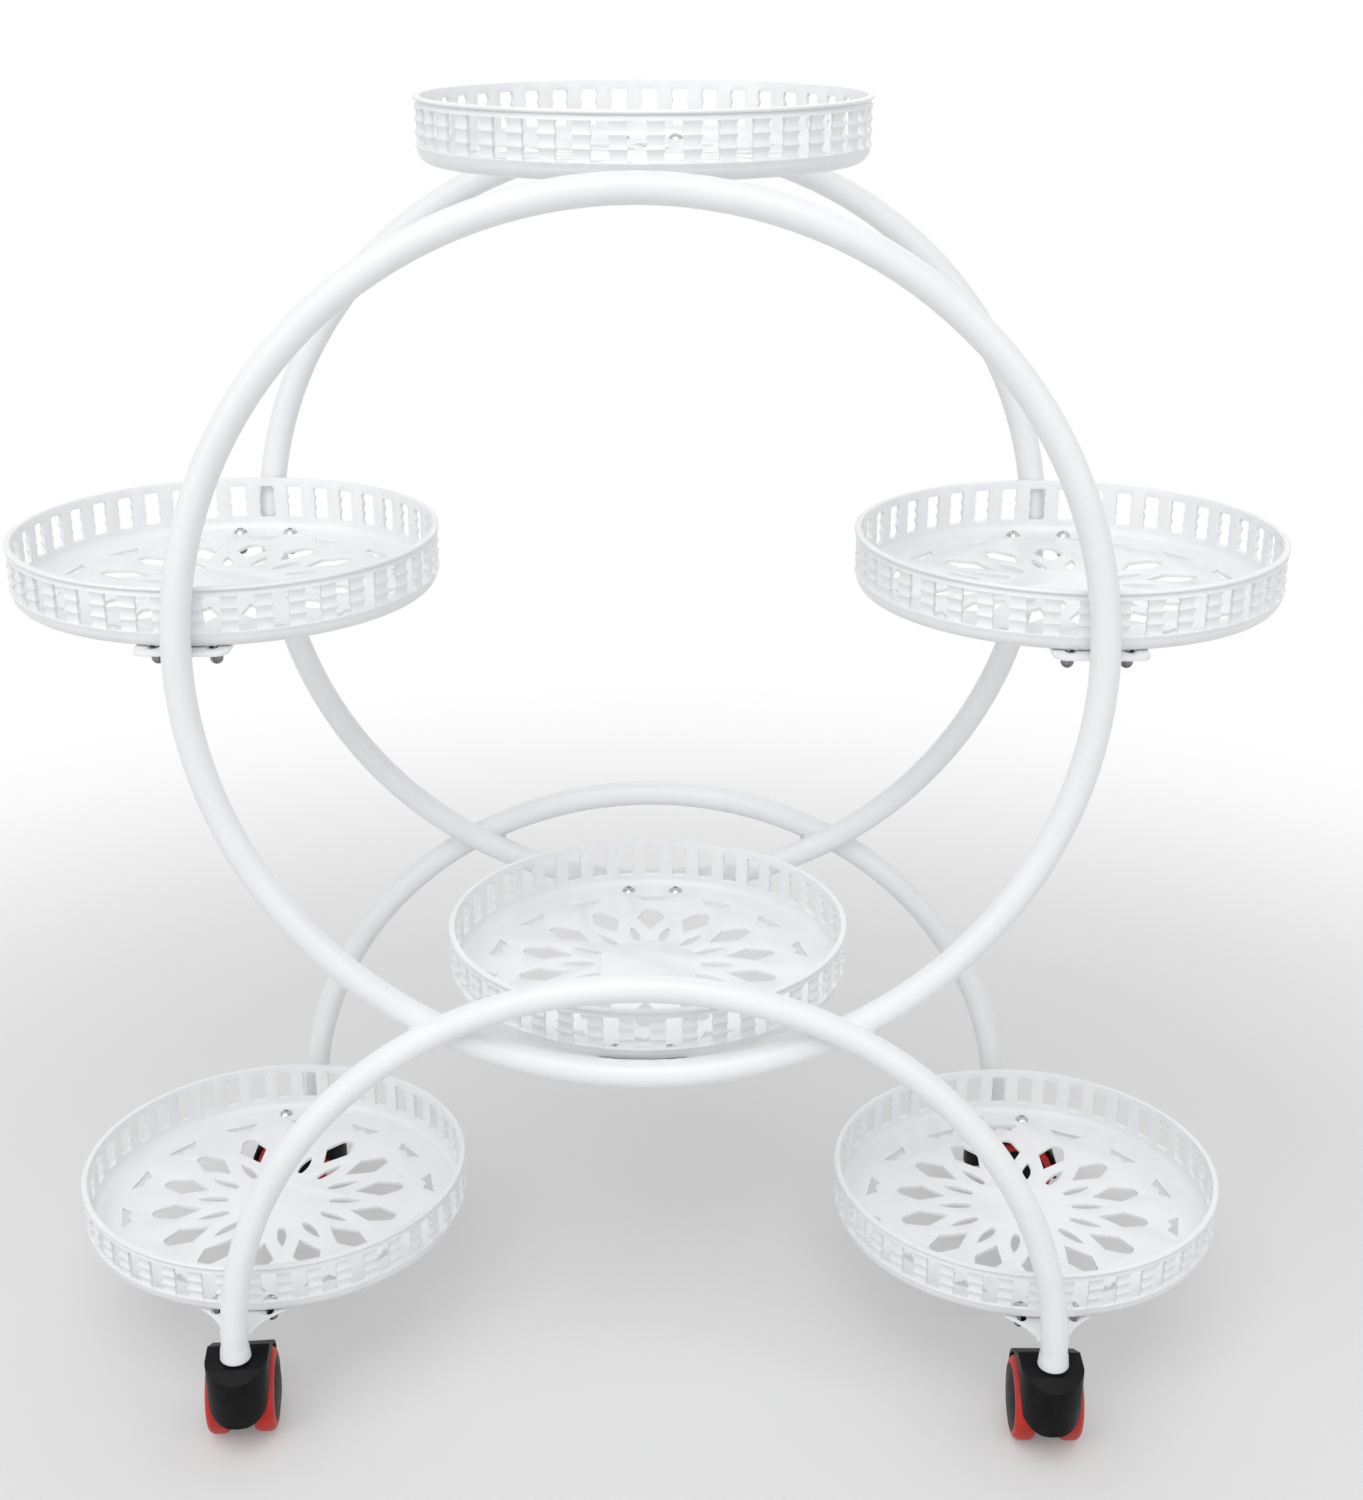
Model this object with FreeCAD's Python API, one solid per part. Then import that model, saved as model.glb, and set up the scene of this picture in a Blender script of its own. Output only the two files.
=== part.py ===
import FreeCAD, Part
import math
import os

os.makedirs("parts", exist_ok=True)

# A rolling ring stand: two hoops and two arches of white steel tube carry six round trays,
# and twin-wheel casters carry the arches.
# Millimetres. X runs left to right, Y from front to back, Z up from the floor, origin under the middle.

# Steel tube of the frame
tube_d = 16.0
tube_wall = 1.2
hoop_r = 242.5          # hoop, to the middle of the tube
arch_r = 242.5          # arch, to the middle of the tube
crossing = 60.0         # hoop bottom below the arch top
seat_depth = 5.0        # how far the pressed arch lets the hoop sink in at a crossing
weld_leg = 1.6          # bead thickness where the tubes cross

# Moulded trays
rim_r = 122.5
lip_w = 1.5
lip_t = 2.0
lip_groove = 0.8        # wall let in under the lip
wall_t = 2.0
floor_t = 2.0
tray_h = 34.0
corner_r = 7.0
rim_gap = 0.5           # rim to the nearest tube
side_rise = 4.0         # plates of the side trays above the hoop centre
lower_rise = 8.0        # plates of the lower trays above the arch centre

# Bamboo posts round the tray wall
window_count = 42
window_w = 8.4
window_top = 5.0        # rim down to the top of the windows
window_base = 9.0       # foot of the tray up to the windows
post_joints = 3         # bamboo lengths in a post
ridge = 0.9             # bamboo joints stand proud by this
joint_w = 0.7           # posts widen by this at a joint, each side

# Rosette in the tray floor, from its outside inwards
rosette_count = 14
rosette_margin = 14.0   # flat floor left round the rosette
chevron_w = 23.0
chevron_depth = 6.7
chevron_lobe_w = 11.0   # between the two lobes
chevron_notch = 3.7     # depth at the notch between the lobes
chevron_gap = 12.3      # chevrons to kites
kite_l = 32.0
kite_crown = 2.2        # height of its round end
kite_end_w = 9.0
kite_wide_in = 15.0     # widest place from the outer end
kite_bar = 11.6         # floor left between two kites
petal_reach = 5.0       # petal tips between the points of the kites
petal_l = 21.0
petal_wide_in = 12.6    # widest place from the tip
petal_w = 5.8
petal_foot_w = 3.2

# Plates under the trays and their fasteners
plate_t = 2.0
plate_w = 51.0
plate_edge = 7.5        # screw centre to the inner edge of the plate
plate_bite = 4.0        # how far a plate reaches past the near side of its tube
plate_corner = 6.0      # inner corners
tab_corner = 8.0        # outer corners of the plates on the hoops
gusset_neck = 19.0      # plates on the arches taper to this at the tube
gusset_sag = 1.2        # hollow of their tapering edges
slot_l = 16.0
slot_shift = 4.0        # slot middle from the screw, outwards
slot_clear = 0.5
screw_d = 5.0
screw_spacing = 31.4
head_d = 9.0
head_h = 2.8
head_gap = 0.4          # head to the rounded corner of the tray
hole_clear = 0.25
nut_af = 8.0
nut_hex_h = 4.2
nut_h = 10.0            # cap nut over its dome
nut_dome_d = 7.2
thread_grip = 7.0       # screw inside the nut
thread_end_gap = 0.5

# Leg ferrules
ferrule_flare = 1.05    # foot of the ferrule beyond its bore
ferrule_base = 1.5
ferrule_edge = 0.4      # top edge of the skirt
ferrule_skirt = 6.5
ferrule_plug = 10.0
ferrule_clear = 0.15    # ferrule to the tube, inside and outside
leg_straight = 4.5      # tube end up to the arch centre

# Twin-wheel casters
caster_rise = 12.0      # ferrule above the wheels
caster_trail = 18.0
wheel_d = 50.0
tyre_w = 13.5
tyre_t = 5.0
tyre_round = 4.5
hub_web = 3.0
hub_rim = 3.0
hub_boss_r = 6.5
hub_dome = 2.2
hub_lip = 2.0           # flat lip round the dome
axle_d = 6.0
axle_cover = 3.5        # hub left over the end of the axle, without its dome
axle_end_gap = 0.5
running = 0.05          # radial running clearance
rib_w = 13.0
wheel_gap = 0.5
body_w = 37.0
pocket_gap = 1.5
hood_t = 2.0
hood_back = 62.0        # degrees above the axle where the hood's round begins
hood_end = -8.0         # degrees below the axle where the hood ends
hood_corner = 5.0
skirt_drop = 0.5        # lower edge of the barrel under the axle
skirt_round = 14.0      # lower corners of the barrel
facet_y = 10.0          # deck in front of the stem
facet_drop = 5.5
deck_back = 14.0        # deck behind the stem
rib_depth = 9.0         # rib below the axle
stem_d = 8.0
flange_d = 14.0
flange_t = 1.0
deck_gap = 0.3
stem_reach = 30.0       # stem inside the caster body
stem_end_gap = 1.0
ring_t = 1.0
ring_proud = 0.8
ring_up = 4.0           # snap ring above the stem's end
front_left_heading = 6.0        # degrees that this caster has swivelled

# Places that follow from the sizes above
shortest = 0.1          # no edge is drawn shorter than this
tube_r = tube_d / 2
wall_r = rim_r - lip_w
inner_r = wall_r - wall_t
inner_corner = max(corner_r - wall_t, shortest)
hoop_y = rim_r + rim_gap + tube_r
arch_y = hoop_y + tube_d - seat_depth
caster_h = wheel_d + caster_rise
leg_end = caster_h + ferrule_base
arch_z = leg_end + leg_straight
hoop_z = arch_z + arch_r + hoop_r - crossing
screw_r = inner_r - inner_corner - head_gap - head_d / 2
screw_y = math.sqrt(screw_r ** 2 - (screw_spacing / 2) ** 2)
plate_in = screw_y - plate_edge
plate_shoulder = wall_r - corner_r
chevron_out = inner_r - inner_corner - rosette_margin
kite_out = chevron_out - chevron_depth - chevron_gap
kite_wide = kite_out - kite_wide_in
kite_in = kite_out - kite_l
kite_w = 2 * math.pi * kite_wide / rosette_count - kite_bar
petal_out = kite_in + petal_reach
petal_wide = petal_out - petal_wide_in
petal_in = petal_out - petal_l
wheel_r = wheel_d / 2
hub_r = wheel_r - tyre_t
deck_z = caster_h - flange_t - deck_gap
skirt_z = wheel_r - skirt_drop
axle_grip = tyre_w - axle_cover
wheel_in = rib_w / 2 + wheel_gap

O = FreeCAD.Vector(0, 0, 0)
X = FreeCAD.Vector(1, 0, 0)
Y = FreeCAD.Vector(0, 1, 0)
Z = FreeCAD.Vector(0, 0, 1)


def at(x, y, z=0.0):
    return FreeCAD.Vector(x, y, z)


def line(a, b):
    return Part.LineSegment(a, b).toShape()


def arc(a, middle, b):
    return Part.Arc(a, middle, b).toShape()


def loop(points):
    """Straight edges from point to point and back to the first."""
    return [line(a, b) for a, b in zip(points, points[1:] + points[:1])]


def flat(edges):
    return Part.Face(Part.Wire(edges))


def moved(shape, x, y, z):
    copy = shape.copy()
    copy.translate(at(x, y, z))
    return copy


def turned(shape, degrees):
    copy = shape.copy()
    copy.rotate(O, Z, degrees)
    return copy


def ring_of(shape, count, start=0.0):
    """Copies of a shape spread evenly about Z."""
    return [turned(shape, start + 360.0 * i / count) for i in range(count)]


def save(name, shapes):
    solids = shapes if isinstance(shapes, list) else [shapes]
    shape = solids[0] if len(solids) == 1 else Part.makeCompound(solids)
    shape.exportStep("parts/" + name + ".step")


# Hoops and arches
def hoop_rod(r, y):
    return Part.makeTorus(hoop_r, r, at(0, y, hoop_z), Y)


def arch_rod(r, y, foot):
    disc = flat([Part.makeCircle(r, at(arch_r, y, arch_z), Z)])
    bow = disc.revolve(at(0, y, arch_z), Y, -180)
    legs = [Part.makeCylinder(r, arch_z - foot, at(side * arch_r, y, foot), Z) for side in (-1, 1)]
    return bow.fuse(legs).removeSplitter()


def hoop(y):
    return hoop_rod(tube_r, y).cut(hoop_rod(tube_r - tube_wall, y))


def arch(side):
    """The tube is pressed in where the hoop crosses it, with its wall kept whole behind the seat."""
    hoop_at = side * hoop_y
    skin = arch_rod(tube_r, side * arch_y, leg_end).cut(hoop_rod(tube_r, hoop_at))
    bore = arch_rod(tube_r - tube_wall, side * arch_y, leg_end - tube_wall)
    return skin.cut(bore.cut(hoop_rod(tube_r + tube_wall, hoop_at)))


def crossing_beads(side):
    """Weld metal in the crevice round each crossing of an arch and a hoop."""
    grown = hoop_rod(tube_r + weld_leg, side * hoop_y)
    bead = grown.common(arch_rod(tube_r + weld_leg, side * arch_y, leg_end))
    bead = bead.cut([hoop_rod(tube_r, side * hoop_y), arch_rod(tube_r, side * arch_y, leg_end)])
    return bead.Solids


# Tray
def bamboo_edges(start, end, depth_at, points_at):
    """Scallops between bamboo joints: depth_at bows each length, points_at places a height and a depth."""
    step = (end - start) / post_joints
    edges = []
    for i in range(post_joints):
        low = start + i * step
        edges.append(arc(points_at(low, 0), points_at(low + step / 2, depth_at), points_at(low + step, 0)))
    return edges


def tray_bowl():
    low = window_base
    high = tray_h - window_top
    proud = wall_r + ridge
    s = math.sqrt(0.5)
    corner_mid = at(wall_r - corner_r * (1 - s), 0, corner_r * (1 - s))
    foot = inner_r - inner_corner
    inner_mid = at(foot + inner_corner * s, 0, floor_t + inner_corner * (1 - s))
    lip_mid = at(rim_r, 0, tray_h - lip_t / 2)
    edge = rim_r - lip_t / 2
    groove = wall_r - lip_groove
    profile = [
        line(at(0, 0, 0), at(wall_r - corner_r, 0, 0)),
        arc(at(wall_r - corner_r, 0, 0), corner_mid, at(wall_r, 0, corner_r)),
        line(at(wall_r, 0, corner_r), at(proud, 0, low)),
    ]
    profile += bamboo_edges(low, high, ridge, lambda z, depth: at(proud - depth, 0, z))
    profile += [
        line(at(proud, 0, high), at(groove, 0, tray_h - lip_t)),
        line(at(groove, 0, tray_h - lip_t), at(edge, 0, tray_h - lip_t)),
        arc(at(edge, 0, tray_h - lip_t), lip_mid, at(edge, 0, tray_h)),
        line(at(edge, 0, tray_h), at(inner_r, 0, tray_h)),
        line(at(inner_r, 0, tray_h), at(inner_r, 0, floor_t + inner_corner)),
        arc(at(inner_r, 0, floor_t + inner_corner), inner_mid, at(foot, 0, floor_t)),
        line(at(foot, 0, floor_t), at(0, 0, floor_t)),
        line(at(0, 0, floor_t), at(0, 0, 0)),
    ]
    return flat(profile).revolve(O, Z, 360)


def window_cutter():
    """One opening between two posts, cut from inside the wall outwards."""
    low = window_base
    high = tray_h - window_top
    half = window_w / 2
    start = inner_r - wall_t
    left = bamboo_edges(low, high, joint_w, lambda z, depth: at(start, -half - depth, z))
    right = bamboo_edges(low, high, joint_w, lambda z, depth: at(start, half + depth, z))
    top = line(at(start, -half, high), at(start, half, high))
    bottom = line(at(start, -half, low), at(start, half, low))
    return flat(left + [top] + right[::-1] + [bottom]).extrude(X * (lip_w + ridge + 3 * wall_t))


def petal_cutter():
    tip = at(petal_out, 0)
    sides = [at(petal_in, side * petal_foot_w / 2) for side in (1, -1)]
    edges = [
        arc(tip, at(petal_wide, petal_w / 2), sides[0]),
        line(sides[0], sides[1]),
        arc(sides[1], at(petal_wide, -petal_w / 2), tip),
    ]
    return flat(edges)


def kite_cutter():
    ends = [at(kite_out - kite_crown, side * kite_end_w / 2) for side in (1, -1)]
    corners = [at(kite_wide, side * kite_w / 2) for side in (1, -1)]
    tip = at(kite_in, 0)
    edges = [
        line(tip, corners[0]),
        line(corners[0], ends[0]),
        arc(ends[0], at(kite_out, 0), ends[1]),
        line(ends[1], corners[1]),
        line(corners[1], tip),
    ]
    return flat(edges)


def chevron_cutter():
    lobe = chevron_out - chevron_depth
    return flat(loop([
        at(chevron_out, chevron_w / 2),
        at(lobe, chevron_lobe_w / 2),
        at(chevron_out - chevron_notch, 0),
        at(lobe, -chevron_lobe_w / 2),
        at(chevron_out, -chevron_w / 2),
    ]))


def screw_places():
    return [(x * screw_spacing / 2, y * screw_y) for x in (-1, 1) for y in (-1, 1)]


def tray():
    half_pitch = 180.0 / rosette_count
    outlines = ring_of(petal_cutter(), rosette_count)
    outlines += ring_of(kite_cutter(), rosette_count, half_pitch)
    outlines += ring_of(chevron_cutter(), rosette_count, half_pitch)
    hole_r = screw_d / 2 + hole_clear
    outlines += [flat([Part.makeCircle(hole_r, at(x, y), Z)]) for x, y in screw_places()]
    cutters = [moved(face, 0, 0, -floor_t).extrude(Z * 3 * floor_t) for face in outlines]
    cutters += ring_of(window_cutter(), window_count, 180.0 / window_count)
    return tray_bowl().cut(cutters)


# Plates under a tray, drawn in front of it
def both_sides(half_edges):
    """A closed outline from its right half, which runs from the inner edge's middle to the outer edge's."""
    far = [edge.mirror(O, X) for edge in half_edges]
    return flat(half_edges + far[::-1])


def inner_corner_edges(half):
    c = min(plate_corner, half / 2)
    s = c * (1 - math.sqrt(0.5))
    inner = -plate_in
    return [
        line(at(0, inner), at(half - c, inner)),
        arc(at(half - c, inner), at(half - s, inner - s), at(half, inner - c)),
    ], at(half, inner - c)


def tab_outline():
    """Plate on a hoop: a tab with rounded corners, welded along its outer edge."""
    half = plate_w / 2
    c = tab_corner
    s = c * (1 - math.sqrt(0.5))
    front = tube_r - plate_bite - hoop_y
    edges, last = inner_corner_edges(half)
    edges += [
        line(last, at(half, front + c)),
        arc(at(half, front + c), at(half - s, front + s), at(half - c, front)),
        line(at(half - c, front), at(0, front)),
    ]
    return both_sides(edges)


def gusset_outline():
    """Plate on an arch: its edges taper, slightly hollow, from the tray to the leg."""
    half = plate_w / 2
    neck = gusset_neck / 2
    near = tube_r - arch_y
    shoulder = -plate_shoulder
    edges, last = inner_corner_edges(half)
    waist = at((half + neck) / 2 - gusset_sag, (shoulder + near) / 2 + gusset_sag)
    edges += [
        line(last, at(half, shoulder)),
        arc(at(half, shoulder), waist, at(neck, near)),
        line(at(neck, near), at(neck, near - plate_bite)),
        line(at(neck, near - plate_bite), at(0, near - plate_bite)),
    ]
    return both_sides(edges)


def plate(outline):
    half_w = screw_d / 2 + slot_clear
    straight = max(slot_l / 2 - half_w, shortest)
    slots = []
    for side in (-1, 1):
        x = side * screw_spacing / 2
        y = -screw_y - slot_shift
        slot = Part.makeBox(2 * half_w, 2 * straight, 3 * plate_t, at(x - half_w, y - straight, -plate_t))
        ends = [
            Part.makeCylinder(half_w, 3 * plate_t, at(x, y + end * straight, -plate_t))
            for end in (-1, 1)
        ]
        slots.append(slot.fuse(ends))
    return outline.extrude(Z * plate_t).cut(slots)


def screw():
    """Dome head on the tray floor, shank down through floor and plate into the nut."""
    low = -floor_t - plate_t - thread_grip
    shank = Part.makeCylinder(screw_d / 2, -low, at(0, 0, low))
    dome_r = ((head_d / 2) ** 2 + head_h ** 2) / (2 * head_h)
    dome = Part.makeSphere(dome_r, at(0, 0, head_h - dome_r))
    return shank.fuse(dome.common(Part.makeCylinder(head_d, head_h))).removeSplitter()


def cap_nut():
    """Hexagon under the plate, closed below by a dome."""
    corner = nut_af / math.sqrt(3)
    turns = [math.radians(60 * i) for i in range(6)]
    points = [at(corner * math.cos(turn), corner * math.sin(turn)) for turn in turns]
    block = flat(loop(points)).extrude(Z * -nut_hex_h)
    r = nut_dome_d / 2
    barrel = Part.makeCylinder(r, nut_h - r - nut_hex_h / 2, at(0, 0, r - nut_h))
    block = block.fuse([barrel, Part.makeSphere(r, at(0, 0, r - nut_h))]).removeSplitter()
    thread = thread_grip + thread_end_gap
    block = block.cut(Part.makeCylinder(screw_d / 2, thread, at(0, 0, -thread)))
    return moved(block, 0, 0, -floor_t - plate_t)


# Flared leg end with the caster's socket
def ferrule():
    skirt = tube_r + ferrule_clear
    outer = skirt + ferrule_flare
    plug = tube_r - tube_wall - ferrule_clear
    c = ferrule_base
    s = c * (1 - math.sqrt(0.5))
    profile = [
        at(outer, 0, leg_end),
        at(skirt + ferrule_edge, 0, leg_end + ferrule_skirt),
        at(skirt, 0, leg_end + ferrule_skirt),
        at(skirt, 0, leg_end),
        at(plug, 0, leg_end),
        at(plug, 0, leg_end + ferrule_plug),
        at(stem_d / 2, 0, leg_end + ferrule_plug),
        at(stem_d / 2, 0, caster_h),
        at(outer - c, 0, caster_h),
    ]
    edges = [line(a, b) for a, b in zip(profile, profile[1:])]
    edges.append(arc(profile[-1], at(outer - s, 0, caster_h + s), profile[0]))
    return flat(edges).revolve(O, Z, 360)


# Caster pieces, drawn with the stem on Z and the wheels trailing towards +Y
def stem():
    r = stem_d / 2
    low = deck_z - stem_reach
    groove = Part.makeCylinder(r, ring_t, at(0, 0, low + ring_up))
    groove = groove.cut(Part.makeCylinder(r - ring_proud, ring_t, at(0, 0, low + ring_up)))
    rod = Part.makeCylinder(r, leg_end + ferrule_plug - low, at(0, 0, low))
    flange = Part.makeCylinder(flange_d / 2, flange_t, at(0, 0, caster_h - flange_t))
    return rod.fuse(flange).removeSplitter().cut(groove)


def ring_shape(r_in, r_out, height, z):
    outer = Part.makeCylinder(r_out, height, at(0, 0, z))
    return outer.cut(Part.makeCylinder(r_in, height, at(0, 0, z)))


def stem_ring():
    """Split ring in the stem's groove, standing into a groove of the caster body."""
    z = deck_z - stem_reach + ring_up
    band = ring_shape(stem_d / 2 - ring_proud, stem_d / 2 + ring_proud, ring_t, z)
    split = Part.makeBox(stem_d, 2 * ring_proud, 2 * ring_t, at(0, -ring_proud, z - ring_t / 2))
    return band.cut(split)


def caster_body():
    half = body_w / 2
    hood_r = wheel_r + pocket_gap + hood_t

    def on_hood(degrees):
        a = math.radians(degrees)
        return at(-half, caster_trail + hood_r * math.cos(a), wheel_r + hood_r * math.sin(a))

    def side_point(y, z):
        return at(-half, y, z)

    rib_low = wheel_r - rib_depth
    outline = [
        side_point(-half, skirt_z),
        side_point(-half, deck_z - facet_drop),
        side_point(-facet_y, deck_z),
        side_point(deck_back, deck_z),
        on_hood(hood_back),
    ]
    under = [
        on_hood(hood_end),
        side_point(caster_trail + rib_depth, rib_low),
        side_point(caster_trail - rib_depth, rib_low),
        side_point(0, skirt_z),
        side_point(-half, skirt_z),
    ]
    edges = [line(a, b) for a, b in zip(outline, outline[1:])]
    edges.append(arc(on_hood(hood_back), on_hood((hood_back + hood_end) / 2), on_hood(hood_end)))
    edges += [line(a, b) for a, b in zip(under, under[1:])]
    block = flat(edges).extrude(X * body_w)

    back = caster_trail + hood_r + hood_t
    c = hood_corner
    s = c * (1 - math.sqrt(0.5))
    plan = [
        arc(at(-half, 0), at(0, -half), at(half, 0)),
        line(at(half, 0), at(half, back - c)),
        arc(at(half, back - c), at(half - s, back - s), at(half - c, back)),
        line(at(half - c, back), at(c - half, back)),
        arc(at(c - half, back), at(s - half, back - s), at(-half, back - c)),
        line(at(-half, back - c), at(-half, 0)),
    ]
    block = block.common(flat(plan).extrude(Z * 2 * caster_h))

    bore_low = deck_z - stem_reach - stem_end_gap
    bore_r = stem_d / 2 + running
    ring_low = deck_z - stem_reach + ring_up - deck_gap
    axle_at = at(-half, caster_trail, wheel_r)
    cuts = [
        Part.makeCylinder(bore_r, caster_h, at(0, 0, bore_low)),
        Part.makeCylinder(stem_d / 2 + ring_proud + deck_gap, ring_t + 2 * deck_gap, at(0, 0, ring_low)),
        Part.makeCylinder(axle_d / 2, body_w, axle_at, X),
    ]
    pocket_r = wheel_r + pocket_gap
    for start in (-half - rib_w, rib_w / 2):
        cuts.append(Part.makeCylinder(pocket_r, half + rib_w / 2, at(start, caster_trail, wheel_r), X))
    return block.cut(cuts + skirt_corners())


def skirt_corners():
    """What rounds off the lower corners of the barrel, seen from its front."""
    half = body_w / 2
    c = min(skirt_round, half - shortest)
    corners = []
    for side in (-1, 1):
        left = -half if side < 0 else half - c
        corner = Part.makeBox(c, half, c, at(left, -half, skirt_z))
        corners.append(corner.cut(Part.makeCylinder(c, half, at(side * (half - c), -half, skirt_z + c), Y)))
    return corners


def axle():
    reach = wheel_in + axle_grip - axle_end_gap
    return Part.makeCylinder(axle_d / 2, 2 * reach, at(-reach, caster_trail, wheel_r), X)


def about_axle(edges):
    """A wheel section drawn in X and Y about X, turned into a solid on the axle."""
    solid = flat(edges).revolve(O, X, 360)
    return moved(solid, 0, caster_trail, wheel_r)


def hub():
    x0 = wheel_in
    x1 = wheel_in + tyre_w
    bore = axle_d / 2 + running
    web = x1 - hub_web
    rim_in = hub_r - hub_rim
    dome_low = hub_r - hub_lip
    ball_r = (dome_low ** 2 + hub_dome ** 2) / (2 * hub_dome)
    ball_x = x1 + hub_dome - ball_r
    dome_mid = at(ball_x + math.sqrt(ball_r ** 2 - dome_low ** 2 / 4), dome_low / 2)
    outline = [
        at(x1 + hub_dome, 0),
        at(x0 + axle_grip, 0),
        at(x0 + axle_grip, bore),
        at(x0, bore),
        at(x0, hub_boss_r),
        at(web, hub_boss_r),
        at(web, rim_in),
        at(x0, rim_in),
        at(x0, hub_r),
        at(x1, hub_r),
        at(x1, dome_low),
    ]
    edges = [line(a, b) for a, b in zip(outline, outline[1:])]
    edges.append(arc(outline[-1], dome_mid, outline[0]))
    return about_axle(edges)


def tyre():
    x0 = wheel_in
    x1 = wheel_in + tyre_w
    c = min(tyre_round, tyre_t - shortest, tyre_w / 2 - shortest)
    s = c * (1 - math.sqrt(0.5))
    edges = [
        line(at(x1, hub_r), at(x0, hub_r)),
        line(at(x0, hub_r), at(x0, wheel_r - c)),
        arc(at(x0, wheel_r - c), at(x0 + s, wheel_r - s), at(x0 + c, wheel_r)),
        line(at(x0 + c, wheel_r), at(x1 - c, wheel_r)),
        arc(at(x1 - c, wheel_r), at(x1 - s, wheel_r - s), at(x1, wheel_r - c)),
        line(at(x1, wheel_r - c), at(x1, hub_r)),
    ]
    return about_axle(edges)


def across(shape):
    """The other wheel's copy, on the far side of the caster."""
    return shape.mirror(O, X)


# Frame
for end, side in (("front", -1), ("rear", 1)):
    save(end + "_hoop", hoop(side * hoop_y))
    save(end + "_arch", arch(side))
save("crossing_welds", crossing_beads(-1) + crossing_beads(1))

# Trays with their plates and fasteners: name, place, tube plane and what the plates are welded to
trays = [
    ("top", 0, hoop_z + hoop_r, "hoop"),
    ("left", -hoop_r, hoop_z + side_rise, "hoop"),
    ("right", hoop_r, hoop_z + side_rise, "hoop"),
    ("centre", 0, hoop_z - hoop_r, "hoop"),
    ("lower_left", -arch_r, arch_z + lower_rise, "arch"),
    ("lower_right", arch_r, arch_z + lower_rise, "arch"),
]
bowl = tray()
screws = []
nuts = []
for name, x, level, carrier in trays:
    plate_z = level - plate_t / 2
    floor_z = plate_z + plate_t + floor_t
    save(name + "_tray", moved(bowl, x, 0, plate_z + plate_t))
    on_hoop = carrier == "hoop"
    for end, side in (("front", -1), ("rear", 1)):
        blank = turned(plate(tab_outline() if on_hoop else gusset_outline()), 0 if side == -1 else 180)
        tube = hoop_rod(tube_r, side * hoop_y) if on_hoop else arch_rod(tube_r, side * arch_y, leg_end)
        save(name + "_" + end + "_bracket", moved(blank, x, 0, plate_z).cut(tube).Solids[0])
    for dx, dy in screw_places():
        screws.append(moved(screw(), x + dx, dy, floor_z))
        nuts.append(moved(cap_nut(), x + dx, dy, floor_z))
save("tray_screws", screws)
save("tray_nuts", nuts)

# Casters: the front pair trail to the back, the rear pair trail outwards
rings = []
for corner, x, y, heading in (
    ("front_left", -arch_r, -arch_y, front_left_heading),
    ("front_right", arch_r, -arch_y, 0),
    ("rear_left", -arch_r, arch_y, 90),
    ("rear_right", arch_r, arch_y, -90),
):
    pieces = {
        "ferrule": ferrule(),
        "stem": stem(),
        "caster_body": caster_body(),
        "axle": axle(),
        "left_hub": across(hub()),
        "left_tyre": across(tyre()),
        "right_hub": hub(),
        "right_tyre": tyre(),
    }
    for name, shape in pieces.items():
        save(corner + "_" + name, moved(turned(shape, heading), x, y, 0))
    rings.append(moved(turned(stem_ring(), heading), x, y, 0))
save("stem_rings", rings)
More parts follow.
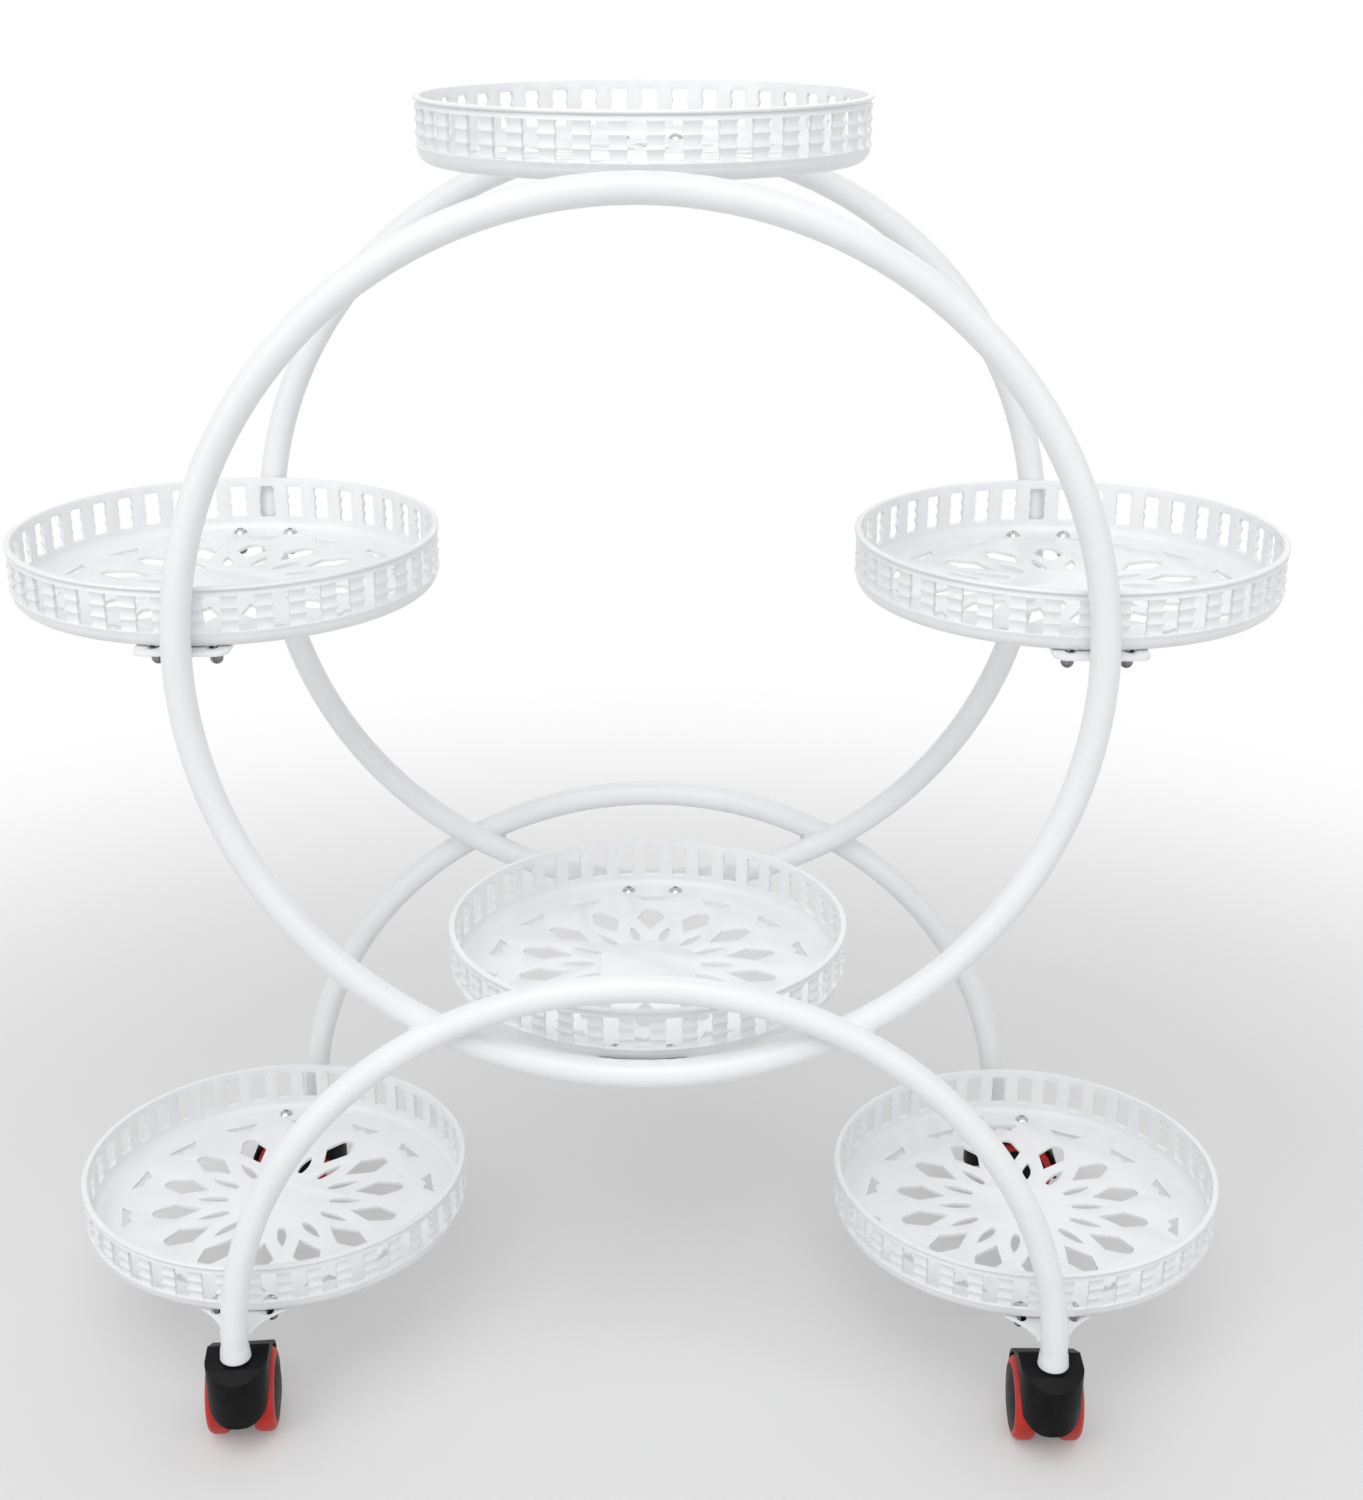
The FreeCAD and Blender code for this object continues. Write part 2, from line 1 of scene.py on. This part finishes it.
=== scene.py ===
import math
import bpy
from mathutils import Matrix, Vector


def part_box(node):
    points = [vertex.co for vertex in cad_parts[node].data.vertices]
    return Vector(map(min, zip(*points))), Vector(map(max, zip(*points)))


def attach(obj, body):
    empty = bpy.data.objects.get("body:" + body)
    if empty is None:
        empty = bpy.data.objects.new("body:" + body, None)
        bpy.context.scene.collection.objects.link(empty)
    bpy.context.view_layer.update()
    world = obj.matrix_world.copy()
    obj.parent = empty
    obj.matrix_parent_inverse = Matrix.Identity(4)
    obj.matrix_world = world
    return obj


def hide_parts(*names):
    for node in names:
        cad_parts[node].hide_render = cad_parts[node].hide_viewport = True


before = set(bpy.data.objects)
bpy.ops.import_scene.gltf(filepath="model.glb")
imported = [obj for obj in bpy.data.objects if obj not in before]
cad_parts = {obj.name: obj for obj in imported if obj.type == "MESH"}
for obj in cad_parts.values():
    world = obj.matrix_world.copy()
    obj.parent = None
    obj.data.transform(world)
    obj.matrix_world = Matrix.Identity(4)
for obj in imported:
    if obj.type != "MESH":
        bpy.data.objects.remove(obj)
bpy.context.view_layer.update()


# Hoops and arches. Bent steel tube, welded where an arch crosses a hoop, then powder coated
# in a cool satin white. The coat flows out with a faint orange peel and hides the weld marks.
def uneven_skin_group():
    """Fine relief and slow clouding that no coated or moulded surface is without."""
    group = bpy.data.node_groups.new("uneven_skin", "ShaderNodeTree")
    for socket in ("Relief Scale", "Cloud Scale"):
        group.interface.new_socket(socket, in_out="INPUT", socket_type="NodeSocketFloat")
    for socket in ("Relief", "Cloud"):
        group.interface.new_socket(socket, in_out="OUTPUT", socket_type="NodeSocketFloat")
    nodes, links = group.nodes, group.links
    given = nodes.new("NodeGroupInput")
    made = nodes.new("NodeGroupOutput")
    place = nodes.new("ShaderNodeTexCoord")
    relief = nodes.new("ShaderNodeTexNoise")
    relief.inputs["Detail"].default_value = 3.0
    relief.inputs["Roughness"].default_value = 0.45
    cloud = nodes.new("ShaderNodeTexNoise")
    cloud.inputs["Detail"].default_value = 4.0
    cloud.inputs["Roughness"].default_value = 0.6
    for noise, scale, out in ((relief, "Relief Scale", "Relief"), (cloud, "Cloud Scale", "Cloud")):
        links.new(place.outputs["Object"], noise.inputs["Vector"])
        links.new(given.outputs[scale], noise.inputs["Scale"])
        links.new(noise.outputs["Fac"], made.inputs[out])
    return group


uneven_skin = uneven_skin_group()


def skin_material(name, dark, light, gloss, relief_scale, cloud_scale, relief_depth):
    """A surface whose colour and roughness drift between two values over a fine relief."""
    material = bpy.data.materials.new(name)
    material.use_nodes = True
    nodes, links = material.node_tree.nodes, material.node_tree.links
    shader = nodes["Principled BSDF"]
    skin = nodes.new("ShaderNodeGroup")
    skin.node_tree = uneven_skin
    skin.inputs["Relief Scale"].default_value = relief_scale
    skin.inputs["Cloud Scale"].default_value = cloud_scale
    spread = nodes.new("ShaderNodeMapRange")
    spread.inputs["From Min"].default_value = 0.35
    spread.inputs["From Max"].default_value = 0.65
    links.new(skin.outputs["Cloud"], spread.inputs["Value"])
    tint = nodes.new("ShaderNodeMix")
    tint.data_type = "RGBA"
    tint.inputs["A"].default_value = (*dark, 1.0)
    tint.inputs["B"].default_value = (*light, 1.0)
    links.new(spread.outputs["Result"], tint.inputs["Factor"])
    links.new(tint.outputs["Result"], shader.inputs["Base Color"])
    shine = nodes.new("ShaderNodeMapRange")
    shine.inputs["To Min"].default_value = gloss[0]
    shine.inputs["To Max"].default_value = gloss[1]
    links.new(spread.outputs["Result"], shine.inputs["Value"])
    links.new(shine.outputs["Result"], shader.inputs["Roughness"])
    bump = nodes.new("ShaderNodeBump")
    bump.inputs["Strength"].default_value = 0.35
    bump.inputs["Distance"].default_value = relief_depth
    links.new(skin.outputs["Relief"], bump.inputs["Height"])
    links.new(bump.outputs["Normal"], shader.inputs["Normal"])
    return material


def set_finish(material, socket, value):
    """Sets one value of a finish that is the same all over."""
    material.node_tree.nodes["Principled BSDF"].inputs[socket].default_value = value


def dress(material, names):
    """Gives a finish to pieces of the frame, in place of the one they came with."""
    for name in names:
        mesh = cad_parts[name].data
        mesh.materials.clear()
        mesh.materials.append(material)


powder_coat = skin_material(
    "white_powder_coat",
    dark=(0.855, 0.862, 0.885),
    light=(0.885, 0.890, 0.905),
    gloss=(0.34, 0.44),
    relief_scale=300.0,
    cloud_scale=14.0,
    relief_depth=0.00006,
)
set_finish(powder_coat, "Coat Weight", 0.10)
set_finish(powder_coat, "Coat Roughness", 0.16)
tubes = ["front_hoop", "rear_hoop", "front_arch", "rear_arch", "crossing_welds"]
dress(powder_coat, tubes)


# Plates under the trays. Sheet steel, blanked with slotted holes, welded edge on to the tubes
# and coated together with them, so the coat rounds their edges.
def edit_faces(action):
    """Goes into edit mode on the active piece, with all of its faces selected or none."""
    bpy.ops.object.mode_set(mode="EDIT")
    bpy.ops.mesh.select_mode(type="FACE")
    bpy.ops.mesh.select_all(action=action)


def eased_copy(node, edge_round, segments, material):
    """A piece of the frame with its sharp edges eased, as coating or moulding leaves them."""
    bpy.ops.object.select_all(action="DESELECT")
    piece = bpy.data.objects.new(f"{node}_finished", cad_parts[node].data.copy())
    bpy.context.scene.collection.objects.link(piece)
    piece.select_set(True)
    bpy.context.view_layer.objects.active = piece
    edit_faces("SELECT")
    bpy.ops.mesh.remove_doubles(threshold=1e-6)
    bpy.ops.mesh.dissolve_limited(angle_limit=math.radians(0.5))
    bpy.ops.object.mode_set(mode="OBJECT")
    easing = piece.modifiers.new("easing", "BEVEL")
    easing.width = edge_round
    easing.segments = segments
    easing.limit_method = "ANGLE"
    easing.angle_limit = math.radians(30)
    bpy.ops.object.modifier_apply(modifier="easing")
    bpy.ops.object.shade_smooth_by_angle(angle=math.radians(35))
    piece.data.materials.clear()
    piece.data.materials.append(material)
    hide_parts(node)
    return piece


tray_names = ["top", "left", "right", "centre", "lower_left", "lower_right"]
for tray in tray_names:
    for end in ("front", "rear"):
        plate = eased_copy(f"{tray}_{end}_bracket", edge_round=0.0004, segments=2, material=powder_coat)
        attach(plate, "frame")


# Weld beads. Short runs that join each plate to its tube, left with the ripples of the torch
# under the coat. They lie below the plates on the hoops and above those on the legs.
bead_radius = 0.0015
bead_end_radius = 0.0008
ripple_step = 0.0013
ripple_swell = 1.12
tube_diameter = 0.016
straight_run = 0.034
wrap_angle = math.radians(112.0)


def weld_bead(length):
    """A run of weld metal along X, swelling and narrowing with each ripple."""
    bpy.ops.object.select_all(action="DESELECT")
    bpy.ops.mesh.primitive_circle_add(
        vertices=12,
        radius=bead_end_radius,
        fill_type="NGON",
        location=(-length / 2, 0, 0),
        rotation=(0, math.radians(90), 0),
    )
    bead = bpy.context.object
    bpy.ops.object.transform_apply(location=True, rotation=True, scale=True)
    edit_faces("SELECT")
    taper = bead_radius / bead_end_radius
    ripples = round(length / ripple_step) - 1
    swells = [taper] + [ripple_swell, 1 / ripple_swell] * ripples + [1 / taper]
    step = (length / len(swells), 0, 0)
    for swell in swells:
        bpy.ops.mesh.extrude_region_move(TRANSFORM_OT_translate={"value": step})
        bpy.ops.transform.resize(value=(1.0, swell, swell))
    bpy.ops.mesh.select_all(action="SELECT")
    bpy.ops.mesh.normals_make_consistent(inside=False)
    bpy.ops.object.mode_set(mode="OBJECT")
    bpy.ops.object.shade_smooth()
    bead.data.materials.append(powder_coat)
    return bead


def wrapped_bead(turn):
    """The same run laid round an upright tube."""
    bead = weld_bead(wrap_angle * tube_diameter / 2)
    curl = bead.modifiers.new("curl", "SIMPLE_DEFORM")
    curl.deform_method = "BEND"
    curl.deform_axis = "Z"
    curl.angle = turn
    bpy.ops.object.modifier_apply(modifier="curl")
    return bead


def set_out(master, name, places):
    """Copies of a master at their places, each turned as it came to rest, joined into one piece."""
    golden_turn = math.radians(137.5)
    copies = []
    for count, place in enumerate(places):
        copy = bpy.data.objects.new(name, master.data.copy())
        bpy.context.scene.collection.objects.link(copy)
        copy.location = place
        copy.rotation_euler = (0, 0, count * golden_turn)
        copies.append(copy)
    bpy.ops.object.select_all(action="DESELECT")
    for copy in copies:
        copy.select_set(True)
    bpy.context.view_layer.objects.active = copies[0]
    bpy.ops.object.transform_apply(location=True, rotation=True, scale=True)
    bpy.ops.object.join()
    group = bpy.context.object
    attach(group, "frame")
    return group


straight_master = weld_bead(straight_run)
wrapped_masters = {side: wrapped_bead(side * wrap_angle) for side in (-1, 1)}
for tray in tray_names:
    low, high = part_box(f"{tray}_front_bracket")
    on_leg = tray.startswith("lower")
    tube_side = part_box("rear_arch" if on_leg else "rear_hoop")[0][1]
    for side, end in ((-1, "front"), (1, "rear")):
        place = ((low[0] + high[0]) / 2, side * tube_side, high[2] if on_leg else low[2])
        bead = straight_master if tray in ("top", "centre") else wrapped_masters[side]
        set_out(bead, f"{tray}_{end}_plate_weld", [place])
for master in (straight_master, *wrapped_masters.values()):
    bpy.data.objects.remove(master)

# Trays. Injection moulded in satin white, with bamboo posts round the wall and a rosette of
# cut-outs in the floor. Each is screwed down on two plates.
tray_moulding = skin_material(
    "white_tray_moulding",
    dark=(0.855, 0.860, 0.880),
    light=(0.885, 0.890, 0.905),
    gloss=(0.28, 0.38),
    relief_scale=900.0,
    cloud_scale=22.0,
    relief_depth=0.0001,
)
for tray in tray_names:
    moulding = eased_copy(f"{tray}_tray", edge_round=0.0003, segments=2, material=tray_moulding)
    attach(moulding, "frame")

# Tray screws. Cold headed steel with a low dome and a cross recess, bright plated. Two on each
# plate hold a tray down, their shanks passing through its floor and the slots of the plate.
plated_steel = skin_material(
    "bright_plated_steel",
    dark=(0.48, 0.48, 0.49),
    light=(0.62, 0.62, 0.63),
    gloss=(0.14, 0.28),
    relief_scale=1400.0,
    cloud_scale=260.0,
    relief_depth=0.00005,
)
set_finish(plated_steel, "Metallic", 1.0)
head_diameter, head_height = 0.0090, 0.0028
shank_diameter, shank_length = 0.0050, 0.0110
recess_width, recess_arm, recess_depth = 0.0011, 0.0018, 0.0015
recess_taper = 0.55
screw_spacing = 0.0314
tray_floor_thickness = 0.0020
screw_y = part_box("tray_screws")[1][1] - head_diameter / 2


def pick_faces(piece, wanted):
    """Selects the faces whose middle and normal pass a test, and goes on in edit mode."""
    edit_faces("DESELECT")
    bpy.ops.object.mode_set(mode="OBJECT")
    for face in piece.data.polygons:
        face.select = wanted(face.center, face.normal)
    bpy.ops.object.mode_set(mode="EDIT")


def combine(piece, tool, operation):
    """Cuts a tool out of a piece, or keeps what they share or make together, and drops the tool."""
    change = piece.modifiers.new("shape", "BOOLEAN")
    change.operation = operation
    change.object = tool
    bpy.ops.object.select_all(action="DESELECT")
    piece.select_set(True)
    bpy.context.view_layer.objects.active = piece
    bpy.ops.object.modifier_apply(modifier="shape")
    bpy.data.objects.remove(tool)


def cross_recess():
    """The punch that leaves the cross: a square core with four arms, tapering downwards."""
    bpy.ops.object.select_all(action="DESELECT")
    bpy.ops.mesh.primitive_cube_add(size=1.0, location=(0, 0, head_height))
    punch = bpy.context.object
    punch.scale = (recess_width, recess_width, 2 * recess_depth)
    bpy.ops.object.transform_apply(location=True, rotation=True, scale=True)
    pick_faces(punch, lambda middle, normal: abs(normal.z) < 0.5)
    bpy.ops.mesh.extrude_faces_move(TRANSFORM_OT_shrink_fatten={"value": recess_arm})
    pick_faces(punch, lambda middle, normal: normal.z < -0.5)
    bpy.ops.transform.resize(value=(recess_taper, recess_taper, 1.0))
    bpy.ops.object.mode_set(mode="OBJECT")
    return punch


def dome_screw():
    """A low dome cut from a ball, with a shank drawn out below it and a cross punched in it."""
    bpy.ops.object.select_all(action="DESELECT")
    dome_radius = ((head_diameter / 2) ** 2 + head_height ** 2) / (2 * head_height)
    bpy.ops.mesh.primitive_uv_sphere_add(
        segments=32, ring_count=32, radius=dome_radius, location=(0, 0, head_height - dome_radius)
    )
    screw = bpy.context.object
    bpy.ops.object.transform_apply(location=True, rotation=True, scale=True)
    edit_faces("SELECT")
    bpy.ops.mesh.bisect(plane_co=(0, 0, 0), plane_no=(0, 0, 1), use_fill=True, clear_inner=True)
    pick_faces(screw, lambda middle, normal: normal.z < -0.9)
    bpy.ops.mesh.inset(thickness=(head_diameter - shank_diameter) / 2)
    bpy.ops.mesh.extrude_region_move(TRANSFORM_OT_translate={"value": (0, 0, -shank_length)})
    bpy.ops.object.mode_set(mode="OBJECT")
    combine(screw, cross_recess(), "DIFFERENCE")
    bpy.ops.object.shade_smooth_by_angle(angle=math.radians(32))
    screw.data.materials.append(plated_steel)
    return screw


def fastener_places(tray, height):
    """The four places of a tray's screws or nuts, two at each of its plates."""
    low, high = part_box(f"{tray}_tray")
    middle = (low[0] + high[0]) / 2
    spots = [(x, y) for x in (-1, 1) for y in (-1, 1)]
    return [(middle + x * screw_spacing / 2, y * screw_y, height) for x, y in spots]


screw_master = dome_screw()
for tray in tray_names:
    floor_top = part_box(f"{tray}_tray")[0][2] + tray_floor_thickness
    screws = set_out(screw_master, f"{tray}_tray_screws", fastener_places(tray, floor_top))
    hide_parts("tray_screws")
bpy.data.objects.remove(screw_master)

# Cap nuts. Hexagons closed by a dome, turned from steel and plated like the screws. Their colour is
# set darker than the screws' as painted shade and painted reflection: it stands for the shade under
# the plates and the darker surroundings they mirror. They are run up by hand against the undersides
# of the plates.
# The dark and light values below are painted shade and painted reflection, not a darker plating of the
# nuts.
nut_finish_painted_shade = skin_material(
    "nut_plating_with_painted_shade",
    dark=(0.16, 0.16, 0.17),
    light=(0.27, 0.27, 0.28),
    gloss=(0.10, 0.22),
    relief_scale=1400.0,
    cloud_scale=260.0,
    relief_depth=0.00005,
)
set_finish(nut_finish_painted_shade, "Metallic", 1.0)
nut_across_flats = 0.0080
nut_hex_height = 0.0042
nut_height = 0.0100
nut_dome_diameter = 0.0072
nut_chamfer_diameter = 0.00824
nut_chamfer_slope = 2.0


def cap_nut():
    """A hexagon with its lower corners chamfered, closed below by a round cap."""
    bpy.ops.object.select_all(action="DESELECT")
    hex_middle = (0, 0, -nut_hex_height / 2)
    bpy.ops.mesh.primitive_cylinder_add(
        vertices=6, radius=nut_across_flats / math.sqrt(3), depth=nut_hex_height, location=hex_middle
    )
    nut = bpy.context.object
    bpy.ops.object.transform_apply(location=True, rotation=True, scale=True)
    bpy.ops.object.select_all(action="DESELECT")
    bpy.ops.mesh.primitive_cone_add(
        vertices=64,
        radius1=nut_chamfer_diameter / 2,
        radius2=nut_chamfer_diameter / 2 + nut_chamfer_slope * nut_hex_height,
        depth=nut_hex_height,
        location=hex_middle,
    )
    cone = bpy.context.object
    bpy.ops.object.transform_apply(location=True, rotation=True, scale=True)
    combine(nut, cone, "INTERSECT")
    bpy.ops.object.select_all(action="DESELECT")
    dome_radius = nut_dome_diameter / 2
    dome_middle = (0, 0, dome_radius - nut_height)
    bpy.ops.mesh.primitive_uv_sphere_add(
        segments=32, ring_count=16, radius=dome_radius, location=dome_middle
    )
    dome = bpy.context.object
    bpy.ops.object.transform_apply(location=True, rotation=True, scale=True)
    edit_faces("SELECT")
    bpy.ops.mesh.bisect(plane_co=dome_middle, plane_no=(0, 0, 1), use_fill=True, clear_outer=True)
    pick_faces(dome, lambda middle, normal: normal.z > 0.9)
    rise = nut_height - dome_radius - nut_hex_height / 2
    bpy.ops.mesh.extrude_region_move(TRANSFORM_OT_translate={"value": (0, 0, rise)})
    bpy.ops.object.mode_set(mode="OBJECT")
    combine(nut, dome, "UNION")
    bpy.ops.object.shade_smooth_by_angle(angle=math.radians(32))
    nut.data.materials.append(nut_finish_painted_shade)
    return nut


nut_master = cap_nut()
for tray in tray_names:
    plate_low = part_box(f"{tray}_front_bracket")[0][2]
    nuts = set_out(nut_master, f"{tray}_tray_cap_nuts", fastener_places(tray, plate_low))
    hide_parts("tray_nuts")
bpy.data.objects.remove(nut_master)

# Leg ferrules. White moulded caps with a rounded foot, pushed over and into the ends of the legs,
# where they hold the stems of the casters.
corners = ["front_left", "front_right", "rear_left", "rear_right"]
ferrule_moulding = skin_material(
    "white_ferrule_moulding",
    dark=(0.84, 0.85, 0.87),
    light=(0.87, 0.875, 0.89),
    gloss=(0.30, 0.40),
    relief_scale=1100.0,
    cloud_scale=60.0,
    relief_depth=0.0001,
)
dress(ferrule_moulding, [f"{corner}_ferrule" for corner in corners])

# Caster stems, their snap rings and the axles. Turned steel with a dull plating. A stem is pressed
# into its ferrule and snaps into the caster, and an axle is pressed through the caster's rib.
turned_steel = skin_material(
    "turned_caster_steel",
    dark=(0.42, 0.42, 0.43),
    light=(0.52, 0.52, 0.53),
    gloss=(0.28, 0.42),
    relief_scale=1600.0,
    cloud_scale=120.0,
    relief_depth=0.00005,
)
set_finish(turned_steel, "Metallic", 1.0)
dress(turned_steel, [f"{corner}_{piece}" for corner in corners for piece in ("stem", "axle")])
dress(turned_steel, ["stem_rings"])

# Caster bodies. Black nylon mouldings with a fine spark-eroded grain and eased edges, a little
# rubbed where feet and skirtings have met them. Each hoods its two wheels.
black_nylon = skin_material(
    "black_nylon",
    dark=(0.005, 0.005, 0.006),
    light=(0.010, 0.010, 0.011),
    gloss=(0.36, 0.50),
    relief_scale=1300.0,
    cloud_scale=70.0,
    relief_depth=0.0003,
)
set_finish(black_nylon, "Specular IOR Level", 0.10)


def scuff_group():
    """A mask of rubbed marks, in patches of finer specks."""
    group = bpy.data.node_groups.new("scuff_marks", "ShaderNodeTree")
    for socket in ("Patch Scale", "Speck Scale", "Cover"):
        group.interface.new_socket(socket, in_out="INPUT", socket_type="NodeSocketFloat")
    group.interface.new_socket("Mask", in_out="OUTPUT", socket_type="NodeSocketFloat")
    nodes, links = group.nodes, group.links
    given = nodes.new("NodeGroupInput")
    made = nodes.new("NodeGroupOutput")
    place = nodes.new("ShaderNodeTexCoord")
    both = nodes.new("ShaderNodeMath")
    both.operation = "MULTIPLY"
    for socket, scale in enumerate(("Patch Scale", "Speck Scale")):
        noise = nodes.new("ShaderNodeTexNoise")
        noise.inputs["Detail"].default_value = 5.0
        links.new(place.outputs["Object"], noise.inputs["Vector"])
        links.new(given.outputs[scale], noise.inputs["Scale"])
        links.new(noise.outputs["Fac"], both.inputs[socket])
    marks = nodes.new("ShaderNodeMapRange")
    marks.interpolation_type = "SMOOTHSTEP"
    marks.inputs["From Min"].default_value = 0.27
    marks.inputs["From Max"].default_value = 0.40
    links.new(both.outputs["Value"], marks.inputs["Value"])
    links.new(given.outputs["Cover"], marks.inputs["To Max"])
    links.new(marks.outputs["Result"], made.inputs["Mask"])
    return group


scuff_marks = scuff_group()


def scuff(material, colour, roughness, patch_scale, speck_scale, cover):
    """Lays dull marks over a finish."""
    nodes, links = material.node_tree.nodes, material.node_tree.links
    shader = nodes["Principled BSDF"]
    marks = nodes.new("ShaderNodeGroup")
    marks.node_tree = scuff_marks
    marks.inputs["Patch Scale"].default_value = patch_scale
    marks.inputs["Speck Scale"].default_value = speck_scale
    marks.inputs["Cover"].default_value = cover
    worn_values = (("Base Color", "RGBA", (*colour, 1.0)), ("Roughness", "FLOAT", roughness))
    for socket, kind, worn in worn_values:
        mix = nodes.new("ShaderNodeMix")
        mix.data_type = kind
        links.new(shader.inputs[socket].links[0].from_socket, mix.inputs["A"])
        mix.inputs["B"].default_value = worn
        links.new(marks.outputs["Mask"], mix.inputs["Factor"])
        links.new(mix.outputs["Result"], shader.inputs[socket])


scuff(
    black_nylon,
    colour=(0.022, 0.021, 0.020),
    roughness=0.62,
    patch_scale=28.0,
    speck_scale=520.0,
    cover=0.35,
)
for corner in corners:
    body = eased_copy(f"{corner}_caster_body", edge_round=0.0008, segments=3, material=black_nylon)
    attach(body, f"{corner}_caster")

# Wheel hubs. Domed discs of the same black nylon, running on the axles and held there by their
# moulded bosses.
wheels = [f"{corner}_{side}" for corner in corners for side in ("left", "right")]
dress(black_nylon, [f"{wheel}_hub" for wheel in wheels])

# Tyres. Red polyurethane cast on the hubs, with rounded shoulders, a matt skin and a little floor
# dust in it.
red_tread = skin_material(
    "red_polyurethane",
    dark=(0.46, 0.022, 0.018),
    light=(0.56, 0.030, 0.022),
    gloss=(0.34, 0.46),
    relief_scale=700.0,
    cloud_scale=90.0,
    relief_depth=0.0002,
)
set_finish(red_tread, "Specular IOR Level", 0.25)
scuff(
    red_tread,
    colour=(0.50, 0.20, 0.17),
    roughness=0.70,
    patch_scale=40.0,
    speck_scale=900.0,
    cover=0.14,
)
dress(red_tread, [f"{wheel}_tyre" for wheel in wheels])

# Studio. A pale floor that whitens into its backdrop away from the object, four soft boxes, and
# the camera at the photograph's height and distance.
bpy.ops.object.select_all(action="DESELECT")
floor_half = 60.0
bpy.ops.mesh.primitive_plane_add(size=2 * floor_half, location=(0, 0, 0))
floor = bpy.context.object
floor.name = "studio_floor"
floor_paint = bpy.data.materials.new("studio_floor_paint")
floor_paint.use_nodes = True
floor_nodes, floor_links = floor_paint.node_tree.nodes, floor_paint.node_tree.links
floor_shader = floor_nodes["Principled BSDF"]
floor_shader.inputs["Base Color"].default_value = (0.75, 0.75, 0.75, 1.0)
floor_shader.inputs["Roughness"].default_value = 0.9
floor_shader.inputs["Specular IOR Level"].default_value = 0.1


def showing_rays(nodes, links):
    """1 for the rays that show a surface: from the camera, mirrored, or through glass."""
    rays = nodes.new("ShaderNodeLightPath")
    shown = rays.outputs["Is Camera Ray"]
    for kind in ("Is Glossy Ray", "Is Transmission Ray"):
        either = nodes.new("ShaderNodeMath")
        either.operation = "MAXIMUM"
        links.new(shown, either.inputs[0])
        links.new(rays.outputs[kind], either.inputs[1])
        shown = either.outputs["Value"]
    return shown


backdrop_white = floor_nodes.new("ShaderNodeEmission")
floor_place = floor_nodes.new("ShaderNodeTexCoord")
from_middle = floor_nodes.new("ShaderNodeVectorMath")
from_middle.operation = "LENGTH"
floor_links.new(floor_place.outputs["Object"], from_middle.inputs[0])
fade = floor_nodes.new("ShaderNodeMapRange")
fade.interpolation_type = "SMOOTHSTEP"
fade.inputs["From Min"].default_value = 0.50
fade.inputs["From Max"].default_value = 1.30
fade.inputs["To Min"].default_value = 0.15
fade.inputs["To Max"].default_value = 1.0
floor_links.new(from_middle.outputs["Value"], fade.inputs["Value"])
whitening = floor_nodes.new("ShaderNodeMath")
whitening.operation = "MULTIPLY"
floor_links.new(fade.outputs["Result"], whitening.inputs[0])
floor_links.new(showing_rays(floor_nodes, floor_links), whitening.inputs[1])
floor_mix = floor_nodes.new("ShaderNodeMixShader")
floor_links.new(whitening.outputs["Value"], floor_mix.inputs["Fac"])
floor_links.new(floor_shader.outputs["BSDF"], floor_mix.inputs[1])
floor_links.new(backdrop_white.outputs["Emission"], floor_mix.inputs[2])
floor_links.new(floor_mix.outputs["Shader"], floor_nodes["Material Output"].inputs["Surface"])
floor.data.materials.append(floor_paint)

sky = bpy.data.worlds.new("studio_sky")
bpy.context.scene.world = sky
sky.use_nodes = True
sky_nodes, sky_links = sky.node_tree.nodes, sky.node_tree.links
level = sky_nodes.new("ShaderNodeMapRange")
level.inputs["To Min"].default_value = 0.56
level.inputs["To Max"].default_value = 1.0
sky_links.new(showing_rays(sky_nodes, sky_links), level.inputs["Value"])
sky_links.new(level.outputs["Result"], sky_nodes["Background"].inputs["Strength"])
sky_nodes["Background"].inputs["Color"].default_value = (1.0, 1.0, 1.0, 1.0)


def soft_box(name, place, target, size, power):
    """A rectangular lamp at its place, facing its target."""
    lamp = bpy.data.lights.new(name, "AREA")
    lamp.shape = "RECTANGLE"
    lamp.size, lamp.size_y = size
    lamp.energy = power
    holder = bpy.data.objects.new(name, lamp)
    bpy.context.scene.collection.objects.link(holder)
    holder.location = place
    holder.rotation_euler = (Vector(target) - Vector(place)).to_track_quat("-Z", "Y").to_euler()


stand_middle = (0.0, 0.0, 0.38)
soft_box("key_box", place=(-0.4, -2.1, 3.5), target=stand_middle, size=(3.4, 2.6), power=64.0)
soft_box("side_box", place=(-1.9, -1.5, 1.2), target=stand_middle, size=(1.2, 1.4), power=7.5)
soft_box("fill_box", place=(1.9, -1.5, 1.2), target=stand_middle, size=(1.2, 1.4), power=6.0)
soft_box("rear_box", place=(0.6, 2.6, 2.4), target=stand_middle, size=(2.6, 2.0), power=11.0)

camera_place = (0.0329, -1.1631, 0.8438)
camera_pitch = math.radians(21.55)
camera_turn = math.radians(0.84)
photo_width, photo_height = 1363.0, 1500.0
focal_pixels = 2085.2
axis_pixel = (673.5, 768.4)
lens = bpy.data.cameras.new("photo_camera")
lens.sensor_width = 36.0
lens.lens = focal_pixels * lens.sensor_width / photo_height
lens.shift_x = (photo_width / 2 - axis_pixel[0]) / photo_height
lens.shift_y = (axis_pixel[1] - photo_height / 2) / photo_height
lens.clip_start, lens.clip_end = 0.05, 50.0
camera = bpy.data.objects.new("photo_camera", lens)
bpy.context.scene.collection.objects.link(camera)
camera.location = camera_place
camera.rotation_euler = (math.radians(90.0) - camera_pitch, 0.0, camera_turn)
bpy.context.scene.camera = camera
bpy.context.scene.view_settings.view_transform = "Standard"
